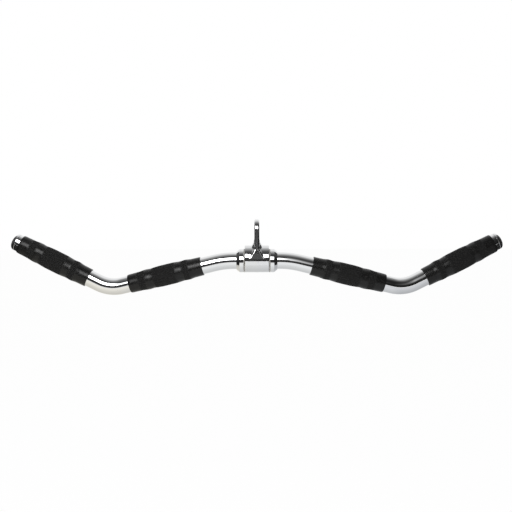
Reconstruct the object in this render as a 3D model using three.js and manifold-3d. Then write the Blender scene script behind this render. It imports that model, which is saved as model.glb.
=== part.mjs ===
// Wide bent cable attachment bar with a revolving hub, for pressing down and pulling down.
// Millimetres, +Z up, X along the bar, the front towards -Y.
// The origin is the centre of the eye in the hub, which the whole bar hangs from.

import * as THREE from 'three';
import { mergeVertices } from 'three/addons/utils/BufferGeometryUtils.js';
import Module from 'manifold-3d';

const wasm = await Module();
wasm.setup();

// Fits that all pieces share
const clearance = 0.3;
const cutOverrun = 2;

// Bar tube: a straight seat for the hub, then on each side a gentle bend down, an inner arm,
// a tighter bend up and an outer arm
const tubeDiameter = 28;
const tubeWall = 3;
const seatRunout = 4.2;
const hubBendRadius = 141;
const hubBendAngle = THREE.MathUtils.degToRad(13.75);
const outerBendRadius = 56;
const outerBendAngle = THREE.MathUtils.degToRad(40.9);
const hubBendSections = 3;
const outerBendSections = 8;

// Grips, and the bare tube left beside them. A grip is cut square at the end towards the hub and is
// rounded off over its nose at the other end.
const gripLength = 125.8;
const hubBendToGrip = 20.6;
const gripToOuterBend = 13.1;
const outerBendToGrip = 19.1;
const gripToTubeEnd = 5.4;
const gripCuffDiameter = 31.3;
const gripCuffFootDiameter = 31.9;
const gripRidgeDiameter = 34.1;
const gripGrooveDiameter = 33.2;
const gripSwellDiameter = 35.3;
const gripEdgeChamfer = 0.4;
const gripNoseLength = 4.5;
const gripNoseDiameter = 29.4;

// End caps: a domed head with a ribbed stem that is pressed into the tube
const capRimLength = 1.2;
const capDomeDepth = 7.7;
const capStemLength = 16;
const capStemWall = 2.5;
const capRibCount = 3;
const capRibHeight = 0.8;
const capRibWidth = 1.2;

// Hub: a bored barrel and an upright eye, cast in one piece. The barrel's outside sits above the
// axis of its bore, so that its wall is thickest under the eye. From the side, the eye's edges run
// down tangent to the barrel. A gusset widens the eye over the barrel's front and back, and a flare
// fills the corner between the eye and the barrel's top.
const barrelDiameter = 45;
const barrelLength = 40.6;
const barrelLift = 3;
const barrelEdgeChamfer = 1.2;
const barrelBoreRelief = 1.2;
const eyeHeight = 52.2;
const eyeHoleDiameter = 16;
const eyeWidth = 34;
const eyeThickness = 8.4;
const eyeEdgeRounding = 2.4;
const gussetFootWidth = 25;
const gussetFootHeight = 3;
const gussetTopHeight = 22;
const gussetInset = 0.2;
const flareHeight = 36;
const flareThickness = 25;

// Flanged bushings between the hub and the tube
const bushingWall = 2.2;
const bushingSeatLength = 15;
const flangeThickness = 1.5;
const flangeDiameter = 39;

// Collars that hold the hub in place, each locked on the tube by a set screw
const collarDiameter = 39;
const collarLength = 11.7;
const collarLandLength = 6.4;
const collarNoseDiameter = 30.4;
const collarEdgeChamfer = 0.6;
const screwDiameter = 5;
const screwLength = 3.9;
const screwInset = 3.5;
const screwChamfer = 0.5;
const screwSocketWidth = 2.5;
const screwSocketDepth = 2.2;
const screwAngle = THREE.MathUtils.degToRad(35);

// Facets round the pieces
const tubeSides = 28;
const roundSides = 36;
const gripSides = 28;
const screwSides = 16;
const socketSides = 6;
const eyeArcSegments = 12;
const eyeBevelSegments = 3;

// Sizes that follow from the ones above
const tubeRadius = tubeDiameter / 2;
const boreRadius = tubeRadius - tubeWall;
const slipRadius = tubeRadius + clearance;
const barrelEnd = barrelLength / 2;
const flangeStart = barrelEnd + clearance;
const collarStart = flangeStart + flangeThickness + clearance;
const collarEnd = collarStart + collarLength;
const seatHalfLength = collarEnd + seatRunout;
const innerArmLength = hubBendToGrip + gripLength + gripToOuterBend;
const outerArmLength = outerBendToGrip + gripLength + gripToTubeEnd;
const bushingSeatRadius = slipRadius + bushingWall + clearance;
const barrelCentre = barrelLift - eyeHeight;

// Materials
const chrome = new THREE.MeshStandardMaterial({ color: 0xd8dadb, roughness: 0.08, metalness: 1 });
const rubber = new THREE.MeshStandardMaterial({ color: 0x1b1b1c, roughness: 0.7, metalness: 0 });
const nylon = new THREE.MeshStandardMaterial({ color: 0xadaba6, roughness: 0.5, metalness: 0 });
const blackSteel = new THREE.MeshStandardMaterial({ color: 0x27272a, roughness: 0.4, metalness: 0.8 });

// A closed geometry with shared vertices, as booleans need it
function welded(geometry) {
  const bare = geometry.clone();
  bare.deleteAttribute('normal');
  bare.deleteAttribute('uv');
  return mergeVertices(bare);
}

function toSolid(geometry) {
  const { attributes, index } = welded(geometry);
  const mesh = new wasm.Mesh({
    numProp: 3,
    vertProperties: new Float32Array(attributes.position.array),
    triVerts: new Uint32Array(index.array),
  });
  return new wasm.Manifold(mesh);
}

function toGeometry(solid) {
  const { vertProperties, triVerts } = solid.getMesh();
  const geometry = new THREE.BufferGeometry();
  geometry.setAttribute('position', new THREE.BufferAttribute(vertProperties, 3));
  geometry.setIndex(new THREE.BufferAttribute(triVerts, 1));
  return geometry;
}

// One named piece, shaded with a crease wherever two faces meet
function piece(name, geometry, material) {
  const body = welded(geometry);
  const faceted = body.toNonIndexed();
  faceted.computeVertexNormals();
  const mesh = new THREE.Mesh(faceted, material);
  mesh.name = name;
  return mesh;
}

// A body of revolution about X. Each profile point is [place along X, radius], and the outline runs
// towards +X on its outside.
function revolve(profile, sides) {
  const points = profile.map(([along, radius]) => new THREE.Vector2(radius, along));
  return new THREE.LatheGeometry(points, sides).rotateZ(-Math.PI / 2);
}

// A ring of revolution: the same, with an outline that closes on itself
function revolveRing(profile, sides) {
  return revolve([...profile, profile[0]], sides);
}

// The right half of the bar's centreline in the X-Z plane, from the middle outwards
const halfRun = [
  { length: seatHalfLength, turn: 0, sections: 1 },
  { length: hubBendRadius * hubBendAngle, turn: -hubBendAngle, sections: hubBendSections },
  { length: innerArmLength, turn: 0, sections: 1 },
  { length: outerBendRadius * outerBendAngle, turn: outerBendAngle, sections: outerBendSections },
  { length: outerArmLength, turn: 0, sections: 1 },
];

// Walks a run and returns a station at each section's end, and the stations where its parts end
function walk(run) {
  let at = { x: 0, z: -eyeHeight, heading: 0 };
  const stations = [at];
  const partEnds = [];
  for (const { length, turn, sections } of run) {
    for (let n = 0; n < sections; n += 1) {
      const step = turn / sections;
      const middleHeading = at.heading + step / 2;
      const chord = step ? (2 * length / turn) * Math.sin(step / 2) : length / sections;
      at = {
        x: at.x + chord * Math.cos(middleHeading),
        z: at.z + chord * Math.sin(middleHeading),
        heading: at.heading + step,
      };
      stations.push(at);
    }
    partEnds.push(at);
  }
  return { stations, partEnds };
}

const rightHalf = walk(halfRun);
const [, hubBendEnd, , outerBendEnd, tubeEnd] = rightHalf.partEnds;

// The bar's whole centreline. Its parameter counts sections instead of length, so that a straight is
// one section long and a bend has several.
class BentPath extends THREE.Curve {
  constructor(rightStations) {
    super();
    const mirrored = rightStations.slice(1).reverse();
    const leftStations = mirrored.map(({ x, z, heading }) => ({ x: -x, z, heading: -heading }));
    this.stations = [...leftStations, ...rightStations];
  }

  locate(t) {
    const place = t * (this.stations.length - 1);
    const index = Math.min(Math.floor(place), this.stations.length - 2);
    return { from: this.stations[index], to: this.stations[index + 1], share: place - index };
  }

  getPoint(t, target = new THREE.Vector3()) {
    const { from, to, share } = this.locate(t);
    return target.set(
      THREE.MathUtils.lerp(from.x, to.x, share),
      0,
      THREE.MathUtils.lerp(from.z, to.z, share),
    );
  }

  getPointAt(u, target) {
    return this.getPoint(u, target);
  }

  getTangentAt(u, target = new THREE.Vector3()) {
    const { from, to, share } = this.locate(u);
    const heading = THREE.MathUtils.lerp(from.heading, to.heading, share);
    return target.set(Math.cos(heading), 0, Math.sin(heading));
  }
}

function barTube() {
  const section = new THREE.Shape().absarc(0, 0, tubeRadius, 0, 2 * Math.PI);
  section.holes.push(new THREE.Path().absarc(0, 0, boreRadius, 0, 2 * Math.PI, true));
  const path = new BentPath(rightHalf.stations);
  const geometry = new THREE.ExtrudeGeometry(section, {
    steps: path.stations.length - 1,
    curveSegments: tubeSides / 2,
    extrudePath: path,
  });
  return piece('bar_tube', geometry, chrome);
}

// The eye from the side: a round top and two edges that run down tangent to the barrel
function eyeOutline(inset) {
  const topRadius = eyeWidth / 2 - inset;
  const footRadius = barrelDiameter / 2 - inset;
  const lean = Math.asin((topRadius - footRadius) / barrelCentre);
  const footY = footRadius * Math.cos(lean);
  const footZ = barrelCentre + footRadius * Math.sin(lean);
  const outline = new THREE.Shape().absarc(0, 0, topRadius, lean, Math.PI - lean);
  outline.lineTo(-footY, footZ);
  outline.lineTo(footY, footZ);
  outline.closePath();
  return outline;
}

// Turns what is extruded from an outline into the Y-Z plane, centred on its thickness
function standUp(extrusion, thickness) {
  return extrusion.translate(0, 0, -thickness / 2).rotateX(Math.PI / 2).rotateZ(Math.PI / 2);
}

// The eye plate, with rounded edges and a round hole
function eyePlate() {
  const outline = eyeOutline(0);
  outline.holes.push(new THREE.Path().absarc(0, 0, eyeHoleDiameter / 2, 0, 2 * Math.PI, true));
  const flatThickness = eyeThickness - 2 * eyeEdgeRounding;
  const plate = new THREE.ExtrudeGeometry(outline, {
    depth: flatThickness,
    bevelThickness: eyeEdgeRounding,
    bevelSize: eyeEdgeRounding,
    bevelOffset: -eyeEdgeRounding,
    bevelSegments: eyeBevelSegments,
    curveSegments: eyeArcSegments,
  });
  return toSolid(standUp(plate, flatThickness));
}

// The gusset: the eye's side view, as thick as the gusset's foot, cut to a tapering front view
function gusset() {
  const block = new THREE.ExtrudeGeometry(eyeOutline(gussetInset), {
    depth: gussetFootWidth,
    bevelEnabled: false,
    curveSegments: eyeArcSegments,
  });
  const foot = gussetFootWidth / 2;
  const top = eyeThickness / 2;
  const taper = new THREE.Shape([
    new THREE.Vector2(-foot, gussetFootHeight),
    new THREE.Vector2(foot, gussetFootHeight),
    new THREE.Vector2(top, gussetTopHeight),
    new THREE.Vector2(-top, gussetTopHeight),
  ]);
  const cutter = new THREE.ExtrudeGeometry(taper, {
    depth: barrelDiameter + cutOverrun,
    bevelEnabled: false,
  });
  cutter.rotateX(Math.PI / 2);
  cutter.translate(0, (barrelDiameter + cutOverrun) / 2, -eyeHeight);
  return toSolid(standUp(block, gussetFootWidth)).intersect(toSolid(cutter));
}

// The flare round the eye's foot. Each row is a section: the shares of the flare's height, of its
// thickness at the bottom and of the eye's width, and how square its corners are.
const flareSectionShares = [
  { height: 0.44, thickness: 1, width: 1.03, squareness: 2.2 },
  { height: 0.61, thickness: 1, width: 0.88, squareness: 2.2 },
  { height: 0.71, thickness: 0.82, width: 0.8, squareness: 2.2 },
  { height: 0.75, thickness: 0.64, width: 0.81, squareness: 2.3 },
  { height: 0.8, thickness: 0.54, width: 0.85, squareness: 2.5 },
  { height: 0.85, thickness: 0.46, width: 0.9, squareness: 3 },
  { height: 0.93, thickness: 0.38, width: 0.95, squareness: 4 },
];
const flareTopSquareness = 6;
const flareSides = 28;

function superellipse(halfThickness, halfWidth, squareness, height) {
  const points = [];
  for (let n = 0; n < flareSides; n += 1) {
    const angle = (2 * Math.PI * n) / flareSides;
    const bulge = (value) => Math.sign(value) * Math.abs(value) ** (2 / squareness);
    points.push([halfThickness * bulge(Math.cos(angle)), halfWidth * bulge(Math.sin(angle)), height]);
  }
  return points;
}

// A closed loft through convex sections with equal point counts, from the lowest to the highest
function loft(sections) {
  const count = sections[0].length;
  const last = sections.length - 1;
  const triangles = [];
  for (let level = 0; level < last; level += 1) {
    for (let n = 0; n < count; n += 1) {
      const next = (n + 1) % count;
      const low = level * count;
      const high = low + count;
      triangles.push(low + n, low + next, high + next, low + n, high + next, high + n);
    }
  }
  for (let n = 1; n < count - 1; n += 1) {
    triangles.push(0, n + 1, n);
    triangles.push(last * count, last * count + n, last * count + n + 1);
  }
  const geometry = new THREE.BufferGeometry();
  geometry.setAttribute('position', new THREE.Float32BufferAttribute(sections.flat(2), 3));
  geometry.setIndex(triangles);
  return geometry;
}

function eyeFlare() {
  const sections = flareSectionShares.map(({ height, thickness, width, squareness }) => superellipse(
    (thickness * flareThickness) / 2,
    (width * eyeWidth) / 2,
    squareness,
    height * flareHeight,
  ));
  sections.push(superellipse(eyeThickness / 2, eyeWidth / 2, flareTopSquareness, flareHeight));
  return toSolid(loft(sections).translate(0, 0, -eyeHeight));
}

function swivelHub() {
  const radius = barrelDiameter / 2;
  const barrel = toSolid(revolve([
    [-barrelEnd, 0],
    [-barrelEnd, radius - barrelEdgeChamfer],
    [barrelEdgeChamfer - barrelEnd, radius],
    [barrelEnd - barrelEdgeChamfer, radius],
    [barrelEnd, radius - barrelEdgeChamfer],
    [barrelEnd, 0],
  ], roundSides).translate(0, 0, barrelCentre));
  const seatEnd = barrelEnd - bushingSeatLength - clearance;
  const reliefRadius = slipRadius + barrelBoreRelief;
  const bore = toSolid(revolve([
    [-barrelEnd - cutOverrun, 0],
    [-barrelEnd - cutOverrun, bushingSeatRadius],
    [-seatEnd, bushingSeatRadius],
    [-seatEnd, reliefRadius],
    [seatEnd, reliefRadius],
    [seatEnd, bushingSeatRadius],
    [barrelEnd + cutOverrun, bushingSeatRadius],
    [barrelEnd + cutOverrun, 0],
  ], roundSides).translate(0, 0, -eyeHeight));
  const hub = barrel.add(gusset()).add(eyeFlare()).add(eyePlate()).subtract(bore);
  return piece('swivel_hub', toGeometry(hub), chrome);
}

// Each piece on the tube's seat is made for the right side, and turned about Z for the left
function seatSide(side) {
  const group = new THREE.Group();
  group.position.z = -eyeHeight;
  group.rotation.z = side === 'left' ? Math.PI : 0;
  group.add(bushing(side), collar(side), setScrew(side));
  return group;
}

function bushing(side) {
  const sleeveRadius = slipRadius + bushingWall;
  const sleeveStart = barrelEnd - bushingSeatLength;
  const flangeEnd = flangeStart + flangeThickness;
  const geometry = revolveRing([
    [sleeveStart, slipRadius],
    [sleeveStart, sleeveRadius],
    [flangeStart, sleeveRadius],
    [flangeStart, flangeDiameter / 2],
    [flangeEnd, flangeDiameter / 2],
    [flangeEnd, slipRadius],
  ], roundSides);
  return piece(`${side}_bushing`, geometry, nylon);
}

// The set screws sit low at the back. Turning the left side about Z would bring its screw to the
// front, so its angle is mirrored.
function screwFrame(geometry, side) {
  const lift = side === 'left' ? Math.PI + screwAngle : -screwAngle;
  return geometry.rotateX(lift).translate(collarStart + screwInset, 0, 0);
}

function collar(side) {
  const radius = collarDiameter / 2;
  const ring = toSolid(revolveRing([
    [collarStart, slipRadius],
    [collarStart, radius - collarEdgeChamfer],
    [collarStart + collarEdgeChamfer, radius],
    [collarStart + collarLandLength, radius],
    [collarEnd, collarNoseDiameter / 2],
    [collarEnd, slipRadius],
  ], roundSides));
  const hole = new THREE.CylinderGeometry(
    screwDiameter / 2 + clearance,
    screwDiameter / 2 + clearance,
    radius + cutOverrun,
    screwSides,
  );
  hole.translate(0, (radius + cutOverrun) / 2, 0);
  const drilled = ring.subtract(toSolid(screwFrame(hole, side)));
  return piece(`${side}_collar`, toGeometry(drilled), chrome);
}

// A set screw with a hexagon socket, its point just clear of the tube
function setScrew(side) {
  const radius = screwDiameter / 2;
  const point = slipRadius;
  const head = point + screwLength;
  const shank = new THREE.LatheGeometry([
    new THREE.Vector2(0, point),
    new THREE.Vector2(radius - screwChamfer, point),
    new THREE.Vector2(radius, point + screwChamfer),
    new THREE.Vector2(radius, head - screwChamfer),
    new THREE.Vector2(radius - screwChamfer, head),
    new THREE.Vector2(0, head),
  ], screwSides);
  const cornerRadius = screwSocketWidth / 2 / Math.cos(Math.PI / socketSides);
  const socketLength = screwSocketDepth + cutOverrun;
  const socket = new THREE.CylinderGeometry(cornerRadius, cornerRadius, socketLength, socketSides);
  socket.translate(0, head - screwSocketDepth + socketLength / 2, 0);
  const screw = toSolid(screwFrame(shank, side)).subtract(toSolid(screwFrame(socket, side)));
  return piece(`${side}_set_screw`, toGeometry(screw), blackSteel);
}

// A grip's outline between its cuffs, from the hub outwards, as shares of its length and sizes across
const gripOutline = [
  { share: 0.13, diameter: gripCuffFootDiameter },
  { share: 0.19, diameter: gripRidgeDiameter },
  { share: 0.22, diameter: gripRidgeDiameter },
  { share: 0.255, diameter: gripGrooveDiameter },
  { share: 0.28, diameter: gripGrooveDiameter },
  { share: 0.365, diameter: gripSwellDiameter },
  { share: 0.605, diameter: gripSwellDiameter },
  { share: 0.67, diameter: gripGrooveDiameter },
  { share: 0.69, diameter: gripGrooveDiameter },
  { share: 0.73, diameter: gripRidgeDiameter },
  { share: 0.76, diameter: gripRidgeDiameter },
  { share: 0.835, diameter: gripCuffFootDiameter },
];

// A grip sleeve about X, from 0 to its length, with its nose towards +X
function grip(name) {
  const cuff = gripCuffDiameter / 2;
  const nose = gripNoseDiameter / 2;
  const noseSteps = 3;
  const profile = [
    [0, slipRadius],
    [0, cuff - gripEdgeChamfer],
    [gripEdgeChamfer, cuff],
    ...gripOutline.map(({ share, diameter }) => [share * gripLength, diameter / 2]),
  ];
  for (let n = 0; n <= noseSteps; n += 1) {
    const angle = (n / noseSteps) * (Math.PI / 2);
    profile.push([
      gripLength - gripNoseLength * (1 - Math.sin(angle)),
      nose + (cuff - nose) * Math.cos(angle),
    ]);
  }
  profile.push([gripLength, slipRadius]);
  return piece(name, revolveRing(profile, gripSides), rubber);
}

// The cap's stem ribs: each is a low ring with a sloped leading side
function capStem(stemRadius) {
  const pitch = capStemLength / (capRibCount + 1);
  const outline = [];
  for (let n = capRibCount; n > 0; n -= 1) {
    const place = -n * pitch;
    outline.push([place - capRibWidth / 2, stemRadius - capRibHeight]);
    outline.push([place, stemRadius]);
    outline.push([place + capRibWidth / 2, stemRadius - capRibHeight]);
  }
  return outline;
}

// An end cap about X: its seat against the tube's end is at 0, and the dome points to +X
function endCap(name) {
  const stemRadius = boreRadius - clearance;
  const core = stemRadius - capRibHeight;
  const hollow = core - capStemWall;
  const domeSteps = 6;
  const dome = [];
  for (let n = 0; n <= domeSteps; n += 1) {
    const angle = (n / domeSteps) * (Math.PI / 2);
    dome.push([
      capRimLength + capDomeDepth * Math.sin(angle),
      n === domeSteps ? 0 : tubeRadius * Math.cos(angle),
    ]);
  }
  const geometry = revolve([
    [0, 0],
    [0, hollow],
    [-capStemLength, hollow],
    [-capStemLength, core],
    ...capStem(stemRadius),
    [0, core],
    [0, tubeRadius],
    ...dome,
  ], gripSides);
  return piece(name, geometry, chrome);
}

// Places what is made about X at a distance past a station of the right half, along its heading,
// and mirrors it to the left by a half turn about the eye's upright axis
function onArm(side, station, distance, mesh) {
  const along = new THREE.Group();
  along.position.set(
    station.x + distance * Math.cos(station.heading),
    0,
    station.z + distance * Math.sin(station.heading),
  );
  along.rotation.y = -station.heading;
  along.add(mesh);
  const turned = new THREE.Group();
  turned.rotation.z = side === 'left' ? Math.PI : 0;
  turned.add(along);
  return turned;
}

const bar = new THREE.Group();
bar.add(barTube(), swivelHub());
for (const side of ['left', 'right']) {
  bar.add(seatSide(side));
  bar.add(onArm(side, hubBendEnd, hubBendToGrip, grip(`${side}_inner_grip`)));
  bar.add(onArm(side, outerBendEnd, outerBendToGrip, grip(`${side}_outer_grip`)));
  bar.add(onArm(side, tubeEnd, clearance, endCap(`${side}_end_cap`)));
}

export default bar;
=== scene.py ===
# The press down bar on a white stage: chrome tube, hub and collars, contoured rubber grips.
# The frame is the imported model's: +Z up, X along the bar, the front towards -Y.
# Lengths of the object are in millimetres and are turned into metres when a mesh is made.

import math

import bpy
import numpy as np
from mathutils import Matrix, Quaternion, Vector


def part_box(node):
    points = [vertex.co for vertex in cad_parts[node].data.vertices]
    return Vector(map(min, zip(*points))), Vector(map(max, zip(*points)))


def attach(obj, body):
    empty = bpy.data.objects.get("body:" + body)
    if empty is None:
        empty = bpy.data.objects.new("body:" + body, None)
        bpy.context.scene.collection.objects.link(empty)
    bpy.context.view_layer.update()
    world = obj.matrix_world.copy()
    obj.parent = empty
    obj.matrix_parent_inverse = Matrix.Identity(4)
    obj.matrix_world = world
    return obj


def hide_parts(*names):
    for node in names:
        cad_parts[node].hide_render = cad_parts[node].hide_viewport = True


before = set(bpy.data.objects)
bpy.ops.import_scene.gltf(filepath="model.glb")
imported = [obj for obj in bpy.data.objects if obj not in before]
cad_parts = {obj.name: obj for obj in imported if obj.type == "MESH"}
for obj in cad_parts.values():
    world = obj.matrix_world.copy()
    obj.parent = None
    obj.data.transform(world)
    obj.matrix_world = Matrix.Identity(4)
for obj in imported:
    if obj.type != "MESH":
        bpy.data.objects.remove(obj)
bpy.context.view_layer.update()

MM = 0.001
SIDES = ("left", "right")


# Sizes

def box_mm(node):
    low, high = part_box(node)
    return np.array(low) / MM, np.array(high) / MM


hub_low, hub_high = box_mm("swivel_hub")
bushing_low, bushing_high = box_mm("right_bushing")
collar_low, collar_high = box_mm("right_collar")

# Sizes that the frame gives: the seat is the straight length of tube that the hub turns on
axis_z = (bushing_low[2] + bushing_high[2]) / 2
tube_radius = box_mm("bar_tube")[1][1]
barrel_radius = hub_high[1]
barrel_half = hub_high[0]
barrel_z = hub_low[2] + barrel_radius
eye_radius = hub_high[2]
flange_radius = bushing_high[1]
flange_end = bushing_high[0]
sleeve_start = bushing_low[0]
collar_start = collar_low[0]
collar_end = collar_high[0]
collar_radius = collar_high[1]

# Fits and walls
clearance = 0.3
tube_wall = 3
slip_radius = tube_radius + clearance
bore_radius = tube_radius - tube_wall

# Roundings of turned and moulded edges
fine_rounding = 0.1
small_rounding = 0.2
edge_rounding = 0.3
soft_rounding = 0.4

# The bar's run, from the seat outwards
seat_runout = 4.2
hub_bend_radius = 141
hub_bend_angle = math.radians(13.75)
outer_bend_radius = 56
outer_bend_angle = math.radians(40.9)
hub_bend_to_grip = 20.6
grip_length = 125.8
grip_to_outer_bend = 13.1
outer_bend_to_grip = 19.1
grip_to_tube_end = 5.4

# Grips
grip_cuff_radius = 15.65
grip_foot_radius = 15.95
grip_ridge_radius = 17.05
grip_groove_radius = 16.6
grip_swell_radius = 17.65
grip_edge_rounding = 0.4
grip_nose_length = 4.5
grip_nose_radius = 14.7

# Hub
eye_thickness = 8.4
eye_edge_rounding = 2.4
eye_hole_radius = 8
flare_fillet = 2
foot_fillet = 1.6
foot_blend = 0.4
gusset_foot = 13.5
gusset_foot_height = 3
gusset_top_height = 22
gusset_proud = 0.35
gusset_run_in = 8
gusset_drop = 1.5
gusset_edge_rounding = 2.6
flare_softness = 0.9
barrel_edge_rounding = 1.2
bore_edge_rounding = 0.5
bushing_wall = 2.2
bushing_seat_length = 15
bore_relief = 1.2
hub_mesh_step = 0.6

# Bushing, collar and set screw
flange_thickness = 1.5
collar_land_length = 6.4
collar_nose_radius = 15.2
collar_edge_rounding = 0.7
collar_bevel_rounding = 2.2
collar_nose_rounding = 0.6
collar_bore_rounding = 0.25
screw_radius = 2.5
screw_length = 3.9
screw_inset = 3.5
screw_angle = math.radians(35)
screw_point_inset = 0.7
screw_point_length = 0.6
screw_head_inset = 0.45
screw_head_length = 0.5
screw_thread_pitch = 0.8
screw_thread_depth = 0.25
screw_thread_rounding = 0.05
screw_socket_radius = 1.45
screw_socket_depth = 2.2
screw_socket_cone = 0.3
screw_socket_slack = 0.01

# End cap
cap_rim_length = 1.2
cap_dome_depth = 7.7
cap_stem_length = 16
cap_stem_wall = 2.5
cap_stem_rounding = 0.5
cap_rib_height = 0.8
cap_rib_count = 3
cap_seam_depth = 0.35

# Smoothness of the meshes
tube_sides = 96
round_sides = 128
grip_sides = 96
screw_sides = 48
grip_rings = 80
grip_nose_steps = 12
cap_dome_steps = 24
flare_steps = 90
bend_step = math.radians(1.5)
arc_step = math.radians(12)
merge_distance = 1e-4
tiny = 1e-6


# Meshes

def unit(vectors):
    vectors = np.asarray(vectors, float)
    return vectors / np.linalg.norm(vectors, axis=-1, keepdims=True)


def in_scene(name, data):
    """A new object of the scene with this mesh, light or camera."""
    thing = bpy.data.objects.new(name, data)
    bpy.context.scene.collection.objects.link(thing)
    return thing


def add_mesh(name, points, faces, normals, material):
    """A smooth mesh of the given points in millimetres, shaded with the given normals."""
    mesh = bpy.data.meshes.new(name)
    mesh.from_pydata((np.asarray(points) * MM).tolist(), [], faces)
    mesh.polygons.foreach_set("use_smooth", [True] * len(mesh.polygons))
    mesh.normals_split_custom_set_from_vertices(unit(normals).tolist())
    mesh.materials.append(material)
    return in_scene(name, mesh)


def dress(piece, body, node):
    """The piece rides on its body and stands for its CAD node."""
    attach(piece, body)
    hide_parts(node)


def rounded(corners):
    """A closed outline with each corner (along, radius, rounding) turned into an arc.
    Returns the points and their outward normals; the outline runs clockwise seen with radius up."""
    places = np.array([corner[:2] for corner in corners], float)
    points = []
    normals = []
    for n, (place, corner) in enumerate(zip(places, corners)):
        back = unit(places[n - 1] - place)
        ahead = unit(places[(n + 1) % len(places)] - place)
        half_angle = math.acos(np.clip(back @ ahead, -1, 1)) / 2
        turn = math.pi - 2 * half_angle
        reach = corner[2] / math.tan(half_angle)
        start_normal = np.array([back[1], -back[0]])
        end_normal = np.array([-ahead[1], ahead[0]])
        outward = 1 if start_normal @ ahead < 0 else -1
        centre = place + back * reach - start_normal * corner[2] * outward
        steps = max(2, math.ceil(turn / arc_step) + 1)
        for share in np.linspace(0, 1, steps):
            weight_start, weight_end = 1 - share, share
            if turn > tiny:
                weight_start = math.sin((1 - share) * turn)
                weight_end = math.sin(share * turn)
            normal = unit(start_normal * weight_start + end_normal * weight_end)
            points.append(centre + normal * corner[2] * outward)
            normals.append(normal)
    return np.array(points), np.array(normals)


def lathe(points, normals, sides):
    """A body of revolution about X from a closed outline: points, faces and normals."""
    count = len(points)
    angles = np.arange(sides) * 2 * math.pi / sides
    across = np.stack([np.zeros(sides), -np.cos(angles), np.sin(angles)], axis=1)
    along = np.array([1.0, 0.0, 0.0])
    verts = points[None, :, :1] * along + points[None, :, 1:] * across[:, None]
    norms = normals[None, :, :1] * along + normals[None, :, 1:] * across[:, None]
    faces = []
    for side in range(sides):
        after = (side + 1) % sides
        for n in range(count):
            following = (n + 1) % count
            if points[n][1] + points[following][1] < tiny:
                continue
            faces.append((
                side * count + n,
                side * count + following,
                after * count + following,
                after * count + n,
            ))
    return verts.reshape(-1, 3), faces, norms.reshape(-1, 3)


def quarter_round(start, length, foot, drop, steps):
    """A quarter of an ellipse that falls by a drop to its foot over a length, and its normals."""
    angles = np.linspace(0, math.pi / 2, steps)
    points = np.stack([start + length * np.sin(angles), foot + drop * np.cos(angles)], axis=1)
    normals = np.stack([np.sin(angles) / length, np.cos(angles) / drop], axis=1)
    return points, unit(normals)


# The bar's run

def run_stations():
    """Stations (x, z, heading) of the right half, and the ends of the two bends and of the tube."""
    inner_arm = hub_bend_to_grip + grip_length + grip_to_outer_bend
    outer_arm = outer_bend_to_grip + grip_length + grip_to_tube_end
    parts = [
        (collar_end + seat_runout, 0),
        (hub_bend_radius * hub_bend_angle, -hub_bend_angle),
        (inner_arm, 0),
        (outer_bend_radius * outer_bend_angle, outer_bend_angle),
        (outer_arm, 0),
    ]
    x, z, heading = 0.0, axis_z, 0.0
    stations = [(x, z, heading)]
    ends = []
    for length, turn in parts:
        steps = max(1, math.ceil(abs(turn) / bend_step))
        for _ in range(steps):
            step = turn / steps
            chord = 2 * length / turn * math.sin(step / 2) if turn else length
            x += chord * math.cos(heading + step / 2)
            z += chord * math.sin(heading + step / 2)
            heading += step
            stations.append((x, z, heading))
        ends.append((x, z, heading))
    return np.array(stations), ends[1], ends[3], ends[4]


right_stations, hub_bend_end, outer_bend_end, tube_end = run_stations()


def onto_arm(points, station, distance, side):
    """Places points made about X at a distance past a station, turned about Z for the left side."""
    x, z, heading = station
    cosine, sine = math.cos(heading), math.sin(heading)
    along = points[:, 0] + distance
    placed = np.stack([
        x + along * cosine - points[:, 2] * sine,
        points[:, 1],
        z + along * sine + points[:, 2] * cosine,
    ], axis=1)
    return mirrored(placed, side)


def turned_normals(normals, station, side):
    """Normals made about X, turned as onto_arm turns their places."""
    return onto_arm(normals, (0, 0, station[2]), 0, side)


def mirrored(points, side):
    """A half turn about Z for the left side."""
    return points * np.array([-1, -1, 1]) if side == "left" else points


# Pieces of the bar

def make_tube(material):
    """The bent tube, swept along both halves of the run, with an open bore and flat ends."""
    left = right_stations[:0:-1] * np.array([-1, 1, -1])
    stations = np.concatenate([left, right_stations])
    angles = np.arange(tube_sides) * 2 * math.pi / tube_sides
    points = []
    normals = []
    for radius, sign in ((tube_radius, 1), (bore_radius, -1)):
        for x, z, heading in stations:
            across = np.stack([
                -math.sin(heading) * np.sin(angles),
                -np.cos(angles),
                math.cos(heading) * np.sin(angles),
            ], axis=1)
            points.append(np.array([x, 0, z]) + radius * across)
            normals.append(sign * across)
    last = len(stations) - 1
    for row, direction in ((0, -1), (last, 1)):
        heading = stations[row, 2]
        outward = direction * np.array([math.cos(heading), 0, math.sin(heading)])
        points += [points[row], points[row + len(stations)]]
        normals += 2 * [np.tile(outward, (tube_sides, 1))]
    rows = [(n, n + 1, False) for n in range(last)]
    rows += [(n + len(stations), n + 1 + len(stations), True) for n in range(last)]
    end_row = 2 * len(stations)
    rows += [(end_row, end_row + 1, True), (end_row + 2, end_row + 3, False)]
    faces = []
    for low, high, flip in rows:
        for side in range(tube_sides):
            after = (side + 1) % tube_sides
            face = (
                low * tube_sides + side,
                high * tube_sides + side,
                high * tube_sides + after,
                low * tube_sides + after,
            )
            faces.append(face[::-1] if flip else face)
    tube = add_mesh("tube", np.concatenate(points), faces, np.concatenate(normals), material)
    dress(tube, "bar", "bar_tube")


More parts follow.
